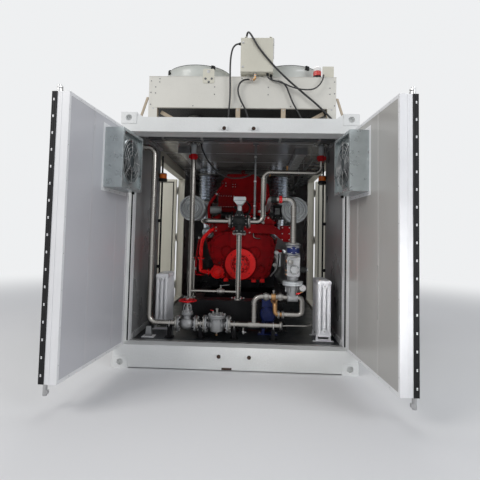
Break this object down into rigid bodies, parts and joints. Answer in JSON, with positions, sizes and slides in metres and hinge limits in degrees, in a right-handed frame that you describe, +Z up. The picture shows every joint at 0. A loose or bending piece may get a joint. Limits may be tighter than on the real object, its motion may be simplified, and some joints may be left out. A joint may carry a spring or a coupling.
{
  "type": "containerised gas engine generating set",
  "caption": "Gas engine generating set in an insulated steel container, front and side doors open, gas train and cooling pipework inside, roof-mounted fan cooler.",
  "frame": {"origin": "centre of the bounding box at ground level, doors open as at rest", "axes": "+Z up, the front doors face -Y, +X to the right seen from the front"},
  "size_m": [4.268, 7.2228, 3.6772],
  "materials": {
    "white_paint": "satin",
    "floor_plate": "satin",
    "door_lining": "satin",
    "seal_rubber": "matte",
    "zinc_steel": "satin",
    "duct_sheet": "satin",
    "cream_paint": "satin",
    "skid_black": "satin",
    "engine_red": "gloss",
    "filter_grey": "satin",
    "stainless": "polished",
    "valve_black": "matte",
    "valve_silver": "satin",
    "wheel_red": "gloss",
    "blue_paint": "gloss",
    "heater_white": "gloss",
    "cooler_paint": "satin",
    "brace_beige": "satin",
    "coil_black": "matte",
    "alternator_grey": "satin",
    "cable_black": "matte"
  },
  "bodies": {
    "container": {"front_sill": "white_paint", "front_header": "white_paint", "rear_frame": "white_paint", "left_front_post": "white_paint", "right_front_post": "white_paint", "base_frame": "white_paint", "floor_plate": "floor_plate", "top_rails": "white_paint", "roof_panel": "white_paint", "left_wall_front": "white_paint", "left_wall_rear": "white_paint", "left_doorway": "cream_paint", "right_wall_front": "white_paint", "right_wall_rear": "white_paint", "right_doorway": "cream_paint", "rear_wall": "white_paint", "engine_skid": "skid_black", "engine_block": "engine_red", "gear_cover": "engine_red", "cylinder_banks": "engine_red", "intake_housing": "engine_red", "water_pump": "engine_red", "air_filters": "filter_grey", "exhaust_bellows": "filter_grey", "alternator": "alternator_grey", "three_way_valve": "valve_black", "cooling_pipes": "stainless", "gas_pipes": "stainless", "gate_valve": "valve_silver", "gas_filter": "valve_silver", "gas_valve_stack": "valve_silver", "circulation_pump": "blue_paint", "column_heaters": "heater_white", "interior_fittings": "zinc_steel", "cooler_casing": "cooler_paint", "cooler_frame": "brace_beige", "cooler_coil": "coil_black", "fan_shrouds": "cooler_paint", "control_box": "cream_paint", "roof_fittings": "cooler_paint", "cable_left": "cable_black", "cable_diagonal": "cable_black", "cable_loop": "cable_black", "cable_box": "cable_black", "cable_beacon": "cable_black", "cable_ceiling": "cable_black"},
    "left_front_door": {"left_door_leaf": "door_lining", "left_door_gasket": "seal_rubber", "left_door_lock": "zinc_steel", "left_fan_box": "duct_sheet"},
    "right_front_door": {"right_door_leaf": "door_lining", "right_door_gasket": "seal_rubber", "right_door_lock": "zinc_steel", "right_fan_box": "duct_sheet"},
    "left_side_near": {"left_side_door_near": "cream_paint"},
    "left_side_far": {"left_side_door_far": "cream_paint"},
    "right_side_near": {"right_side_door_near": "cream_paint"},
    "right_side_far": {"right_side_door_far": "cream_paint"},
    "damper": {"crank_damper": "engine_red"},
    "handwheel": {"gate_handwheel": "wheel_red"}
  },
  "joints": [
    {"name": "left_front_door_hinge", "type": "hinge", "parent": "container", "child": "left_front_door", "pos_m": [-1.214, -2.4166, 1.3], "axis": [0, 0, -1], "range_deg": [-95, 85]},
    {"name": "right_front_door_hinge", "type": "hinge", "parent": "container", "child": "right_front_door", "pos_m": [1.214, -2.4166, 1.3], "axis": [0, 0, 1], "range_deg": [-95, 85]},
    {"name": "left_side_near_hinge", "type": "hinge", "parent": "container", "child": "left_side_near", "pos_m": [-1.222, -1.1506, 1.3], "axis": [0, 0, 1], "range_deg": [-90, 75]},
    {"name": "left_side_far_hinge", "type": "hinge", "parent": "container", "child": "left_side_far", "pos_m": [-1.222, 0.6954, 1.3], "axis": [0, 0, -1], "range_deg": [-90, 75]},
    {"name": "right_side_near_hinge", "type": "hinge", "parent": "container", "child": "right_side_near", "pos_m": [1.222, -1.1506, 1.3], "axis": [0, 0, -1], "range_deg": [-90, 75]},
    {"name": "right_side_far_hinge", "type": "hinge", "parent": "container", "child": "right_side_far", "pos_m": [1.222, 0.6954, 1.3], "axis": [0, 0, 1], "range_deg": [-90, 75]},
    {"name": "damper_spin", "type": "hinge", "parent": "container", "child": "damper", "pos_m": [-0.02, -0.6166, 0.938], "axis": [0, -1, 0], "continuous": true},
    {"name": "handwheel_turn", "type": "hinge", "parent": "container", "child": "handwheel", "pos_m": [-0.531, -2.0916, 0.628], "axis": [0, 0, 1], "continuous": true}
  ]
}
